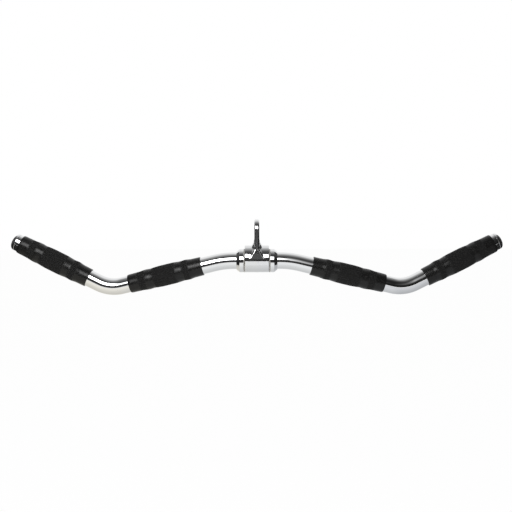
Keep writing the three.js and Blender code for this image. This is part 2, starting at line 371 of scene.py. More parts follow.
# A grip's outline from the hub outwards: its share of the length, radius and rounding
grip_outline = [
    (0.13, grip_foot_radius, 12),
    (0.19, grip_ridge_radius, 7),
    (0.22, grip_ridge_radius, 9),
    (0.255, grip_groove_radius, 12),
    (0.28, grip_groove_radius, 20),
    (0.365, grip_swell_radius, 70),
    (0.605, grip_swell_radius, 70),
    (0.67, grip_groove_radius, 20),
    (0.69, grip_groove_radius, 12),
    (0.73, grip_ridge_radius, 9),
    (0.76, grip_ridge_radius, 7),
    (0.835, grip_foot_radius, 12),
]

# Stippled bands along a grip, with the smooth ones between: each row is a share of the length and
# how much of the stipple there is
stipple_rows = [
    (0.17, 0), (0.19, 1), (0.25, 1), (0.27, 0), (0.345, 0), (0.37, 1),
    (0.65, 1), (0.67, 0), (0.765, 0), (0.78, 1), (0.855, 1), (0.87, 0),
]


def resampled(points, normals):
    """The outline with extra points on its long straights, so that values can change along them."""
    longest = grip_length / grip_rings
    out_points, out_normals = [], []
    for n, point in enumerate(points):
        following = (n + 1) % len(points)
        gap = np.linalg.norm(points[following] - point)
        steps = max(1, math.ceil(gap / longest))
        for step in range(steps):
            share = step / steps
            out_points.append(point * (1 - share) + points[following] * share)
            out_normals.append(unit(normals[n] * (1 - share) + normals[following] * share))
    return np.array(out_points), np.array(out_normals)


def grip_section():
    """The closed outline of a grip, square at the end towards the hub and with a rounded nose."""
    nose_start = grip_length - grip_nose_length
    corners = [
        (grip_length, slip_radius, small_rounding),
        (0, slip_radius, small_rounding),
        (0, grip_cuff_radius, grip_edge_rounding),
    ]
    corners += [(share * grip_length, radius, rounding) for share, radius, rounding in grip_outline]
    corners += [(nose_start, grip_cuff_radius, 0), (grip_length, grip_nose_radius, 0)]
    points, normals = rounded(corners)
    body = (points[:, 0] < nose_start - tiny) | (points[:, 1] < grip_nose_radius - tiny)
    drop = grip_cuff_radius - grip_nose_radius
    nose, nose_normals = quarter_round(
        nose_start, grip_nose_length, grip_nose_radius, drop, grip_nose_steps
    )
    points = np.concatenate([points[body], nose])
    normals = np.concatenate([normals[body], nose_normals])
    return resampled(points, normals)


def make_grips(material):
    """Four grips of one moulding, with the share of stipple kept at each point."""
    points, normals = grip_section()
    places, amounts = zip(*stipple_rows)
    stipple = np.interp(points[:, 0] / grip_length, places, amounts)
    verts, faces, norms = lathe(points, normals, grip_sides)
    for side in SIDES:
        for where, station, distance in (
            ("inner", hub_bend_end, hub_bend_to_grip),
            ("outer", outer_bend_end, outer_bend_to_grip),
        ):
            grip = add_mesh(
                f"{side}_{where}_grip_rubber",
                onto_arm(verts, station, distance, side),
                faces,
                turned_normals(norms, station, side),
                material,
            )
            attribute = grip.data.attributes.new("stipple", "FLOAT", "POINT")
            attribute.data.foreach_set("value", np.tile(stipple, grip_sides))
            dress(grip, "bar", f"{side}_{where}_grip")


def make_caps(material):
    """Domed caps: a rim with a fine seam against the tube, and a ribbed stem inside it."""
    stem_radius = bore_radius - clearance
    core = stem_radius - cap_rib_height
    hollow = core - cap_stem_wall
    corners = [
        (0, 0, 0),
        (0, hollow, soft_rounding),
        (-cap_stem_length, hollow, edge_rounding),
        (-cap_stem_length, core, cap_stem_rounding),
    ]
    pitch = cap_stem_length / (cap_rib_count + 1)
    for n in range(cap_rib_count, 0, -1):
        corners += [
            (-n * pitch - cap_rib_height, core, fine_rounding),
            (-n * pitch, stem_radius, small_rounding),
            (-n * pitch + cap_rib_height, core, fine_rounding),
        ]
    corners += [
        (0, core, small_rounding),
        (0, tube_radius - cap_seam_depth, fine_rounding),
        (cap_seam_depth, tube_radius, edge_rounding),
        (cap_rim_length, tube_radius, 0),
    ]
    stem, stem_normals = rounded(corners)
    dome, dome_normals = quarter_round(cap_rim_length, cap_dome_depth, 0, tube_radius, cap_dome_steps)
    points = np.concatenate([stem[1:-1], dome])
    normals = np.concatenate([stem_normals[1:-1], dome_normals])
    verts, faces, norms = lathe(points, normals, tube_sides)
    for side in SIDES:
        cap = add_mesh(
            f"{side}_cap",
            onto_arm(verts, tube_end, clearance, side),
            faces,
            turned_normals(norms, tube_end, side),
            material,
        )
        dress(cap, "bar", f"{side}_end_cap")


# Pieces on the seat

def on_seat(points, side):
    return mirrored(points + np.array([0, 0, axis_z]), side)


def make_bushings(material):
    """Flanged bushings: a sleeve inside the hub, and a flange against its end."""
    sleeve_radius = slip_radius + bushing_wall
    flange_start = flange_end - flange_thickness
    points, normals = rounded([
        (sleeve_start, slip_radius, edge_rounding),
        (sleeve_start, sleeve_radius, soft_rounding),
        (flange_start, sleeve_radius, small_rounding),
        (flange_start, flange_radius, edge_rounding),
        (flange_end, flange_radius, soft_rounding),
        (flange_end, slip_radius, edge_rounding),
    ])
    verts, faces, norms = lathe(points, normals, round_sides)
    for side in SIDES:
        bushing = add_mesh(
            f"{side}_bushing_nylon", on_seat(verts, side), faces, mirrored(norms, side), material
        )
        dress(bushing, "hub", f"{side}_bushing")


def onto_screw_axis(points, side):
    """From a lathe about X to the set screw's axis, low at the back and pointing out of the tube."""
    lift = -screw_angle if side == "right" else math.pi + screw_angle
    cosine, sine = math.cos(lift), math.sin(lift)
    outward = points[:, 0]
    across = points[:, 2]
    y = outward * cosine - across * sine
    z = outward * sine + across * cosine
    return np.stack([points[:, 1], y, z], axis=1)


def at_screw(points, side):
    """Where a lathe about the set screw's axis stands in its collar."""
    shift = np.array([collar_start + screw_inset, 0, 0])
    return on_seat(onto_screw_axis(points, side) + shift, side)


def merge_points(points, faces):
    """Joins points at one place, and drops faces that collapse."""
    keys = np.round(points / merge_distance).astype(np.int64)
    _, first, index = np.unique(keys, axis=0, return_index=True, return_inverse=True)
    index = index.ravel()
    kept = []
    for face in faces:
        ring = [int(index[n]) for n in face]
        ring = [n for place, n in enumerate(ring) if n != ring[place - 1]]
        if len(ring) > 2:
            kept.append(tuple(ring))
    return points[first], kept


def hole_cutter(side):
    """The cylinder that cuts the set screw's hole."""
    radius = screw_radius + clearance
    points, normals = rounded([
        (tube_radius / 2, 0, 0),
        (tube_radius / 2, radius, fine_rounding),
        (2 * tube_radius, radius, fine_rounding),
        (2 * tube_radius, 0, 0),
    ])
    verts, faces, _ = lathe(points, normals, screw_sides)
    verts, faces = merge_points(at_screw(verts, side), faces)
    mesh = bpy.data.meshes.new(f"{side}_cutter")
    mesh.from_pydata((verts * MM).tolist(), [], faces)
    return in_scene(f"{side}_cutter", mesh)


def apply_modifiers(piece):
    graph = bpy.context.evaluated_depsgraph_get()
    mesh = bpy.data.meshes.new_from_object(piece.evaluated_get(graph))
    piece.modifiers.clear()
    piece.data = mesh


def make_collars(material):
    """Bevelled collars, each with the hole of its set screw."""
    points, normals = rounded([
        (collar_start, slip_radius, edge_rounding),
        (collar_start, collar_radius, collar_edge_rounding),
        (collar_start + collar_land_length, collar_radius, collar_bevel_rounding),
        (collar_end, collar_nose_radius, collar_nose_rounding),
        (collar_end, slip_radius, collar_bore_rounding),
    ])
    verts, faces, norms = lathe(points, normals, round_sides)
    for side in SIDES:
        collar = add_mesh(
            f"{side}_lock_collar", on_seat(verts, side), faces, mirrored(norms, side), material
        )
        cutter = hole_cutter(side)
        cut = collar.modifiers.new("screw hole", "BOOLEAN")
        cut.operation = "DIFFERENCE"
        cut.solver = "EXACT"
        cut.object = cutter
        apply_modifiers(collar)
        bpy.data.objects.remove(cutter)
        dress(collar, "bar", f"{side}_collar")


def make_screws(material):
    """Set screws with a hexagon socket and a threaded flank, their points just clear of the tube."""
    point = slip_radius
    head = point + screw_length
    socket_floor = head - screw_socket_depth
    corners = [(point, 0, 0), (point, screw_radius - screw_point_inset, fine_rounding)]
    place = point + screw_point_length
    while place + screw_thread_pitch < head:
        groove = place + screw_thread_pitch / 2
        corners.append((place, screw_radius, screw_thread_rounding))
        corners.append((groove, screw_radius - screw_thread_depth, screw_thread_rounding))
        place += screw_thread_pitch
    corners += [
        (head - screw_head_length, screw_radius, fine_rounding),
        (head, screw_radius - screw_head_inset, fine_rounding),
        (head, screw_socket_radius, screw_thread_rounding),
        (socket_floor, screw_socket_radius, screw_thread_rounding),
        (socket_floor - screw_socket_cone, 0, 0),
    ]
    points, normals = rounded(corners)
    verts, faces, norms = lathe(points, normals, screw_sides)
    # The socket's inner rings are pushed out to a hexagon
    radial = np.hypot(verts[:, 1], verts[:, 2])
    angle = np.arctan2(verts[:, 2], verts[:, 1])
    sector = math.pi / 3
    hexagon = math.cos(sector / 2) / np.cos((angle % sector) - sector / 2)
    socket = verts[:, 0] > socket_floor - screw_socket_cone - screw_socket_slack
    socket &= radial < screw_socket_radius + screw_socket_slack
    stretch = np.where(socket, hexagon, 1)
    verts = verts * np.stack([np.ones_like(stretch), stretch, stretch], axis=1)
    for side in SIDES:
        screw = add_mesh(
            f"{side}_socket_screw",
            at_screw(verts, side),
            faces,
            mirrored(onto_screw_axis(norms, side), side),
            material,
        )
        dress(screw, "bar", f"{side}_set_screw")


# The hub, as the zero surface of a distance field. Heights are measured from the barrel's axis.

eye_height = -barrel_z
barrel_lift = barrel_z - axis_z

# The flare round the eye's foot: height above the bore's axis, half thickness, half width, squareness
flare_rows = np.array([
    (15.84, 12.5, 17.5, 2.2),
    (21.5, 12.5, 15, 2.2),
    (23.8, 10.6, 14.2, 2.2),
    (25.6, 9, 13.8, 2.2),
    (27.4, 7.9, 14, 2.3),
    (30, 6.5, 15, 3),
    (33.5, 4.95, 16.15, 4),
    (36, 4.2, 17, 6),
])
flare_bottom = flare_rows[0, 0]
flare_top = flare_rows[-1, 0]
flare_heights = np.linspace(flare_bottom, flare_top, flare_steps)


def smooth_column(values):
    """The values of the flare's rows, read at its heights as one smooth curve."""
    offsets = np.linspace(-2, 2, 17)
    weights = np.exp(-offsets ** 2)
    places = flare_heights[:, None] + flare_softness * offsets
    return np.interp(places, flare_rows[:, 0], values) @ weights / weights.sum()


flare_columns = [smooth_column(column) for column in flare_rows[:, 1:].T]


def barrel_field(x, y, height):
    """The barrel, with rounded rims."""
    radial = np.hypot(y, height) - barrel_radius + barrel_edge_rounding
    axial = np.abs(x) - barrel_half + barrel_edge_rounding
    outside = np.hypot(np.maximum(radial, 0), np.maximum(axial, 0))
    return outside + np.minimum(np.maximum(radial, axial), 0) - barrel_edge_rounding


def side_view_field(y, height):
    """The hub from the side: the barrel's circle and the eye's, with the tangents that join them."""
    y = np.abs(y)
    lean = (barrel_radius - eye_radius) / eye_height
    upright = math.sqrt(1 - lean * lean)
    along = height * upright - y * lean
    on_barrel = np.hypot(y, height) - barrel_radius
    on_eye = np.hypot(y, height - eye_height) - eye_radius
    on_tangent = y * upright + height * lean - barrel_radius
    return np.where(along < 0, on_barrel, np.where(along > upright * eye_height, on_eye, on_tangent))


def eye_field(x, y, height):
    """The upright plate with the eye's hole."""
    hole = eye_hole_radius - np.hypot(y, height - eye_height)
    outline = np.maximum(side_view_field(y, height), hole) + eye_edge_rounding
    flat = np.abs(x) - eye_thickness / 2 + eye_edge_rounding
    outside = np.hypot(np.maximum(outline, 0), np.maximum(flat, 0))
    return outside + np.minimum(np.maximum(outline, flat), 0) - eye_edge_rounding


def gusset_field(x, y, height):
    """The eye's foot, which widens towards the barrel in the front view and stands just proud of it."""
    above = height + barrel_lift
    top = eye_thickness / 2
    slope = (gusset_foot - top) / (gusset_top_height - gusset_foot_height)
    off_barrel = np.clip(np.hypot(y, height) - barrel_radius, 0, foot_fillet)
    spread = foot_fillet - np.sqrt(foot_fillet ** 2 - (foot_fillet - off_barrel) ** 2)
    limit = top + slope * (gusset_top_height - above) + spread
    flank = (np.abs(x) - limit) / math.hypot(1, slope)
    proud = gusset_proud * np.clip((gusset_top_height - above) / gusset_run_in, -1, 1)
    face = side_view_field(y, height) - proud
    return np.maximum(smooth_join(flank, face, gusset_edge_rounding, -1), -gusset_drop - height)


def flare_field(x, y, height):
    above = height + barrel_lift
    half_x, half_y, power = (np.interp(above, flare_heights, column) for column in flare_columns)
    across = np.abs(x) / half_x + tiny
    deep = np.abs(y) / half_y + tiny
    reach = (across ** power + deep ** power) ** (1 / power)
    slope = np.hypot((across / reach) ** (power - 1) / half_x, (deep / reach) ** (power - 1) / half_y)
    side = (reach - 1) / slope
    return np.maximum(side, np.maximum(flare_bottom - above, above - flare_top))


def bore_field(x, y, height):
    """Inside the stepped bore, whose axis is the seat's."""
    radial = np.hypot(y, height - axis_z + barrel_z)
    seat_radius = slip_radius + bushing_wall + clearance
    relief_radius = slip_radius + bore_relief
    seat_start = barrel_half - bushing_seat_length - clearance
    seat = smooth_join(radial - seat_radius, seat_start - np.abs(x), bore_edge_rounding, -1)
    return np.minimum(seat, radial - relief_radius)


def smooth_join(a, b, radius, sign):
    """The union of two fields with a round fillet (sign 1), or their overlap with a rounded edge
    (sign -1)."""
    a, b = sign * a, sign * b
    corner = np.hypot(np.maximum(radius - a, 0), np.maximum(radius - b, 0))
    return sign * (np.maximum(radius, np.minimum(a, b)) - corner)


def hub_field(points):
    x, y, height = points[..., 0], points[..., 1], points[..., 2]
    upright = np.minimum(gusset_field(x, y, height), eye_field(x, y, height))
    upright = smooth_join(upright, flare_field(x, y, height), flare_fillet, 1)
    body = smooth_join(barrel_field(x, y, height), upright, foot_blend, 1)
    return smooth_join(body, -bore_field(x, y, height), bore_edge_rounding, -1)


def gradient(field, points, reach=0.02):
    columns = []
    for axis in range(3):
        step = np.zeros(3)
        step[axis] = reach
        columns.append(field(points + step) - field(points - step))
    return np.stack(columns, axis=-1) / (2 * reach)


# The edges of a grid cell, each from corner to corner
CELL_EDGES = [
    ((0, 0, 0), (1, 0, 0)), ((0, 1, 0), (1, 1, 0)), ((0, 0, 1), (1, 0, 1)), ((0, 1, 1), (1, 1, 1)),
    ((0, 0, 0), (0, 1, 0)), ((1, 0, 0), (1, 1, 0)), ((0, 0, 1), (0, 1, 1)), ((1, 0, 1), (1, 1, 1)),
    ((0, 0, 0), (0, 0, 1)), ((1, 0, 0), (1, 0, 1)), ((0, 1, 0), (0, 1, 1)), ((1, 1, 0), (1, 1, 1)),
]


def surface_net(field, low, high, step):
    """The zero surface of a field in a box, as a net of quads with one point in each crossed cell."""
    axes = [np.arange(a, b + step, step) for a, b in zip(low, high)]
    grid = np.stack(np.meshgrid(*axes, indexing="ij"), axis=-1)
    values = field(grid)
    shape = np.array(values.shape) - 1
    total = np.zeros((*shape, 3))
    crossings = np.zeros(shape)

    def corner(offset):
        i, j, k = offset
        return values[i:i + shape[0], j:j + shape[1], k:k + shape[2]]

    for start, end in CELL_EDGES:
        a, b = corner(start), corner(end)
        crossed = (a < 0) != (b < 0)
        share = np.where(crossed, a / np.where(crossed, a - b, 1), 0)
        place = np.array(start) + share[..., None] * (np.array(end) - np.array(start))
        total += np.where(crossed[..., None], place, 0)
        crossings += crossed
    active = crossings > 0
    index = np.full(shape, -1)
    index[active] = np.arange(active.sum())
    cells = np.argwhere(active)
    points = np.array(low) + step * (cells + total[active] / crossings[active][:, None])
    faces = []
    inside = values < 0
    for axis in range(3):
        u, v = (axis + 1) % 3, (axis + 2) % 3
        here = np.moveaxis(inside, (axis, u, v), (0, 1, 2))
        cell = np.moveaxis(index, (axis, u, v), (0, 1, 2))
        changed = np.argwhere(here[:-1, 1:-1, 1:-1] != here[1:, 1:-1, 1:-1])
        i, j, k = changed[:, 0], changed[:, 1] + 1, changed[:, 2] + 1
        ring = [cell[i, j - 1, k - 1], cell[i, j, k - 1], cell[i, j, k], cell[i, j - 1, k]]
        ring = np.stack(ring, axis=1)
        leaving = here[i, j, k]
        faces.append(np.where(leaving[:, None], ring, ring[:, ::-1]))
    return points, np.concatenate(faces)


def settle(field, points, faces, rounds=4, pulls=3, least_slope=0.25):
    """Evens the net out along the surface and puts each point exactly on it."""
    edges = np.concatenate([faces[:, [n, (n + 1) % 4]] for n in range(4)])
    for _ in range(rounds):
        total = np.zeros_like(points)
        count = np.zeros(len(points))
        np.add.at(total, edges[:, 0], points[edges[:, 1]])
        np.add.at(count, edges[:, 0], 1)
        points = (points + total / count[:, None]) / 2
        for _ in range(pulls):
            slope = gradient(field, points)
            share = field(points) / np.maximum((slope ** 2).sum(-1), least_slope)
            points = points - slope * share[:, None]
    return points


def make_hub(material):
    """The casting, as one smooth mesh on the zero surface of its field."""
    margin = 2 * hub_mesh_step
    low = np.array([-barrel_half, -barrel_radius, -barrel_radius]) - margin
    high = np.array([barrel_half, barrel_radius, eye_height + eye_radius]) + margin
    points, faces = surface_net(hub_field, low, high, hub_mesh_step)
    points = settle(hub_field, points, faces)
    normals = gradient(hub_field, points)
    placed = points + np.array([0, 0, barrel_z])
    hub = add_mesh("hub_casting", placed, faces.tolist(), normals, material)
    dress(hub, "hub", "swivel_hub")


# Materials. Their lengths are in metres. Blender's mix node is read by socket number, because its
# sockets share their names.

MIX_SHARE = 0
MIX_NUMBERS = (2, 3)
MIX_COLOURS = (6, 7)
MIXED_NUMBER = 0
MIXED_COLOUR = 2


def shader(name):
    """A new material, its node tree and its Principled shader."""
    material = bpy.data.materials.new(name)
    material.use_nodes = True
    tree = material.node_tree
    return material, tree, tree.nodes["Principled BSDF"]


def set_values(node, values):
    for socket, value in values.items():
        node.inputs[socket].default_value = value


def add_node(tree, kind, values=None, **settings):
    """A new node with these settings, and with these values on its sockets."""
    node = tree.nodes.new(kind)
    for name, value in settings.items():
        setattr(node, name, value)
    set_values(node, values or {})
    return node


def object_place(tree, scale=(1, 1, 1)):
    """The place on the object in metres, stretched by a scale."""
    place = add_node(tree, "ShaderNodeTexCoord")
    mapping = add_node(tree, "ShaderNodeMapping", {"Scale": scale})
    tree.links.new(place.outputs["Object"], mapping.inputs["Vector"])
    return mapping.outputs["Vector"]


def noise(tree, place, scale, detail=2.0, roughness=0.5):
    values = {"Scale": scale, "Detail": detail, "Roughness": roughness}
    node = add_node(tree, "ShaderNodeTexNoise", values)
    tree.links.new(place, node.inputs["Vector"])
    return node.outputs["Fac"]


def ramp(tree, value, low, high, start=0.3, end=0.7):
    """Maps a noise value to a range."""
    values = {"From Min": start, "From Max": end, "To Min": low, "To Max": high}
    node = add_node(tree, "ShaderNodeMapRange", values)
    tree.links.new(value, node.inputs["Value"])
    return node.outputs["Result"]


def colour_mix(tree, value, first, second):
    values = {socket: (*colour, 1) for socket, colour in zip(MIX_COLOURS, (first, second))}
    node = add_node(tree, "ShaderNodeMix", values, data_type="RGBA")
    tree.links.new(value, node.inputs[MIX_SHARE])
    return node.outputs[MIXED_COLOUR]


def bump(tree, height, distance, strength=1.0, below=None):
    node = add_node(tree, "ShaderNodeBump", {"Distance": distance, "Strength": strength})
    tree.links.new(height, node.inputs["Height"])
    if below is not None:
        tree.links.new(below, node.inputs["Normal"])
    return node.outputs["Normal"]


def finish_surface(tree, surface, tint, roughness, normal):
    for socket, output in (("Base Color", tint), ("Roughness", roughness), ("Normal", normal)):
        tree.links.new(output, surface.inputs[socket])


def chrome_material(name, wave_distance, haze, bright, dull):
    """Bright plated steel: a faint waviness from polishing, and patches of thin haze."""
    material, tree, surface = shader(name)
    place = object_place(tree)
    set_values(surface, {"Metallic": 1})
    haze_noise = noise(tree, place, scale=55, detail=4, roughness=0.6)
    tint = colour_mix(tree, haze_noise, bright, dull)
    rough = ramp(tree, haze_noise, low=0.03, high=haze)
    waves = bump(tree, noise(tree, place, scale=38, detail=1), wave_distance)
    polish = noise(tree, place, scale=900, detail=3, roughness=0.6)
    fine = bump(tree, polish, distance=0.000004, below=waves)
    finish_surface(tree, surface, tint, rough, fine)
    return material


def rubber_material():
    """Moulded black rubber: smooth cuffs and ridges, and a fine stipple on the rest."""
    material, tree, surface = shader("grip_rubber")
    place = object_place(tree)
    stipple = add_node(tree, "ShaderNodeAttribute", attribute_name="stipple").outputs["Fac"]
    blotches = noise(tree, place, scale=70, detail=4, roughness=0.6)
    tint = colour_mix(tree, blotches, (0.006, 0.0059, 0.0058), (0.0095, 0.0093, 0.009))
    set_values(surface, {"Specular IOR Level": 0.25})
    smooth_bands = ramp(tree, noise(tree, place, scale=240, detail=3), low=0.24, high=0.36)
    rough = add_node(tree, "ShaderNodeMix", data_type="FLOAT")
    smooth_socket, stippled_socket = (rough.inputs[n] for n in MIX_NUMBERS)
    tree.links.new(stipple, rough.inputs[MIX_SHARE])
    tree.links.new(smooth_bands, smooth_socket)
    stippled_socket.default_value = 0.85
    cells = add_node(tree, "ShaderNodeTexVoronoi", {"Scale": 950}, feature="SMOOTH_F1")
    tree.links.new(place, cells.inputs["Vector"])
    grain = add_node(tree, "ShaderNodeMath", operation="MULTIPLY")
    tree.links.new(cells.outputs["Distance"], grain.inputs[0])
    tree.links.new(stipple, grain.inputs[1])
    coarse = bump(tree, grain.outputs[0], distance=0.00035, strength=0.8)
    pore_noise = noise(tree, place, scale=2600, detail=3)
    pores = bump(tree, pore_noise, distance=0.00004, strength=0.7, below=coarse)
    finish_surface(tree, surface, tint, rough.outputs[MIXED_NUMBER], pores)
    return material


def nylon_material():
    """Turned natural nylon, with fine tool rings."""
    material, tree, surface = shader("bushing_nylon")
    place = object_place(tree)
    blotches = noise(tree, place, scale=180, detail=3)
    tint = colour_mix(tree, blotches, (0.4, 0.39, 0.365), (0.33, 0.32, 0.3))
    rough = ramp(tree, noise(tree, place, scale=400, detail=3), low=0.38, high=0.55)
    rings = noise(tree, object_place(tree, scale=(1, 0.02, 0.02)), scale=3000, detail=1)
    finish_surface(tree, surface, tint, rough, bump(tree, rings, distance=0.00002))
    return material


def steel_material():
    """Black oxide steel, a little worn."""
    material, tree, surface = shader("screw_steel")
    place = object_place(tree)
    set_values(surface, {"Metallic": 0.85})
    wear = noise(tree, place, scale=900, detail=4, roughness=0.7)
    tint = colour_mix(tree, wear, (0.04, 0.04, 0.045), (0.1, 0.1, 0.11))
    rough = ramp(tree, wear, low=0.3, high=0.5)
    finish_surface(tree, surface, tint, rough, bump(tree, wear, distance=0.00002))
    return material


# Camera: in front, a little above, at the photograph's framing

camera_distance = 1.25
camera_elevation = math.radians(7)
frame_width = 0.8576
camera_roll = -0.0022
aim = Vector((-0.00145, 0, -0.04435))


def make_camera():
    data = bpy.data.cameras.new("camera")
    data.lens = data.sensor_width * camera_distance / frame_width
    camera = in_scene("camera", data)
    away = Vector((0, -math.cos(camera_elevation), math.sin(camera_elevation)))
    camera.location = aim + away * camera_distance
    roll = Quaternion((0, 0, 1), camera_roll)
    camera.rotation_euler = ((-away).to_track_quat("-Z", "Y") @ roll).to_euler()
    bpy.context.scene.camera = camera


# Stage: a white floor and background, and one large soft light. Polished metal also needs what
# stands round it in a studio, so its gloss alone sees a dome with the soft light on it, a nearer
# sheet for that light's right edge, a shaded floor and sheets to both sides. Directions are given by
# their angle above the front horizon, measured in the Y-Z plane, and by their share towards the
# right. Places of the stage are in metres.

floor_z = -0.6
floor_front = -2.6
floor_back = 5
floor_half_width = 5
floor_white = 0.95
floor_roughness = 0.9
floor_glow_share = 0.85

lamp_angle_low = math.radians(20)
lamp_angle_high = math.radians(48)
lamp_distance = 1.6
lamp_left = -0.9
lamp_right = 0.16
lamp_radiance = 2.0
world_level = 0.95

dome_radius = 1.1
dome_centre_z = -0.06
dome_edge = math.radians(0.5)
dome_angle_step = 0.5
dome_side_step = 2
# Each row: an angle in degrees, and the dome's levels there at each of these shares
dome_shares = (-0.8, -0.5, -0.35, 0, 0.28, 0.45, 0.8)
dome_rows = np.array([
    (-12, 0.02, 0.03, 0.03, 0.03, 0.02, 0.01, 0.01),
    (2, 0.02, 0.03, 0.03, 0.03, 0.02, 0.01, 0.01),
    (5, 0.05, 0.06, 0.1, 0.1, 0.03, 0.02, 0.02),
    (9, 0.05, 0.06, 0.1, 0.1, 0.03, 0.02, 0.02),
    (13, 0.03, 0.03, 0.03, 0.04, 0.02, 0.01, 0.01),
    (22, 0.06, 0.06, 0.06, 0.06, 0.04, 0.02, 0.02),
    (55, 0.07, 0.09, 0.08, 0.07, 0.06, 0.03, 0.02),
    (68, 0.07, 0.13, 0.13, 0.08, 0.11, 0.07, 0.03),
    (78, 0.07, 0.22, 0.24, 0.16, 0.2, 0.15, 0.03),
    (90, 0.07, 0.34, 0.38, 0.33, 0.38, 0.34, 0.04),
    (100, 0.07, 0.5, 0.55, 0.5, 0.54, 0.52, 0.05),
    (110, 0.08, 0.7, 0.75, 0.72, 0.7, 0.68, 0.06),
    (121, 0.1, 0.95, 0.95, 0.95, 0.95, 0.95, 0.08),
])
# The softbox from left to right: a share, its level there, and the angle of its upper edge
softbox_rows = np.array([
    (-0.62, 0, 38),
    (-0.54, 1.3, 40),
    (-0.46, 4, 46),
    (-0.38, 9, 49),
    (-0.2, 9, 47),
    (0, 7, 46),
    (0.07, 3, 42),
    (0.12, 1.2, 40),
    (0.2, 0.8, 40),
    (0.4, 0, 40),
])
# The nearer sheet: its distance, its levels by the place towards the right, and how much of them
# is left at each angle in degrees
near_distance = 0.5
near_points = 60
near_rows = np.array([
    (0.1, 1.1), (0.14, 0.75), (0.18, 0.6), (0.22, 0.32),
    (0.27, 0.14), (0.33, 0.08), (0.4, 0.02), (0.8, 0.02),
])
near_angles = np.array([(13, 0), (19, 1), (30, 1), (45, 0.25), (54, 0.1)])

# The sheets to both sides: place towards the right, reach towards the back, reach upwards, level
side_sheets = {
    "left_curtain": (-1.6, (-0.8, 1.6), (-0.55, 1.6), 0.07),
    "right_curtain": (1.6, (-0.8, 1.6), (-0.55, 1.6), 0.04),
    "left_card": (-0.7, (-0.7, 0.5), (-0.4, -0.03), 0.02),
    "right_card": (0.7, (-0.7, 0.5), (-0.4, -0.03), 0.02),
}
# Painted shade: levels of the dark strips over the floor's far sides, left and right
dark_floor_levels = (0.05, 0.03)

# Painted shade: under the object the floor looks a little darker in the metal: place towards the back,
# level
shade_half_width = 1.4
shade_points = (40, 57)
floor_shade_rows = np.array([
    (-1.6, 1.03), (-0.6, 1.03), (-0.36, 0.9), (-0.18, 0.86),
    (0, 0.79), (0.2, 0.74), (0.6, 0.78), (1.6, 1),
])
# and warmer to the left, painted warm light, and dark far to both sides, painted shade: place towards
# the right, colour
floor_light_colour_rows = np.array([
    (-1.4, 0.1, 0.1, 0.1),
    (-1, 0.75, 0.73, 0.66),
    (-0.7, 1.02, 0.99, 0.9),
    (-0.25, 1, 0.97, 0.89),
    (-0.1, 0.99, 1, 0.985),
    (0.1, 0.97, 0.985, 1),
    (0.2, 0.91, 0.925, 0.945),
    (0.34, 0.75, 0.765, 0.79),
    (1, 0.7, 0.71, 0.73),
    (1.4, 0.1, 0.1, 0.1),
])


def column_values(places, rows):
    """Each column of a table of rows, read at the given places of its first column."""
    return [np.interp(places, rows[:, 0], column) for column in rows[:, 1:].T]


def is_background(tree):
    """1 for the rays that show the background: from the camera, from gloss and through glass."""
    path = add_node(tree, "ShaderNodeLightPath")
    shown = path.outputs["Is Camera Ray"]
    for other in ("Is Glossy Ray", "Is Transmission Ray"):
        either = add_node(tree, "ShaderNodeMath", operation="MAXIMUM")
        tree.links.new(shown, either.inputs[0])
        tree.links.new(path.outputs[other], either.inputs[1])
        shown = either.outputs[0]
    return shown


def mix_shaders(tree, share, first, second, target):
    """Shows the first shader where the share is 0, and the second where it is 1."""
    either = add_node(tree, "ShaderNodeMixShader")
    for n, output in enumerate((share, first.outputs[0], second.outputs[0])):
        tree.links.new(output, either.inputs[n])
    tree.links.new(either.outputs[0], tree.nodes[target].inputs["Surface"])


def make_world():
    world = bpy.data.worlds.new("studio")
    bpy.context.scene.world = world
    world.use_nodes = True
    tree = world.node_tree
    light = tree.nodes["Background"]
    set_values(light, {"Color": (1, 1, 1, 1), "Strength": world_level})
    white = add_node(tree, "ShaderNodeBackground", {"Color": (1, 1, 1, 1), "Strength": 1})
    mix_shaders(tree, is_background(tree), light, white, "World Output")


def stage_sheet(name, points, faces, material):
    """A sheet of the stage through the given points in metres."""
    mesh = bpy.data.meshes.new(name)
    mesh.from_pydata(points, [], faces)
    mesh.materials.append(material)
    sheet = in_scene(name, mesh)
    return sheet


def floor_sheet(name, left, right, z, material):
    """A level rectangle from the front of the floor to its back."""
    front, back = floor_front, floor_back
    corners = [(left, front, z), (right, front, z), (right, back, z), (left, back, z)]
    return stage_sheet(name, corners, [(0, 1, 2, 3)], material)


def upright_sheet(name, x, y, z, material):
    """A rectangle beside the object, facing it."""
    corners = [(x, y[0], z[0]), (x, y[1], z[0]), (x, y[1], z[1]), (x, y[0], z[1])]
    return stage_sheet(name, corners, [(0, 1, 2, 3)], material)


def gloss_only(sheet):
    """Seen only in the gloss of the object, like the dark studio behind the camera."""
    sheet.visible_camera = False
    sheet.visible_diffuse = False
    sheet.visible_shadow = False
    sheet.visible_transmission = False
    sheet.visible_volume_scatter = False


def floor_material():
    """Matt white; the share that glows keeps it as white as the background, and the rest takes the
    object's shadow."""
    material, tree, surface = shader("floor")
    white = (floor_white, floor_white, floor_white, 1)
    set_values(surface, {"Base Color": white, "Roughness": floor_roughness, "Specular IOR Level": 0})
    glow = add_node(tree, "ShaderNodeEmission", {"Strength": 1})
    share = add_node(tree, "ShaderNodeMath", {1: floor_glow_share}, operation="MULTIPLY")
    tree.links.new(is_background(tree), share.inputs[0])
    mix_shaders(tree, share.outputs[0], surface, glow, "Material Output")
    return material


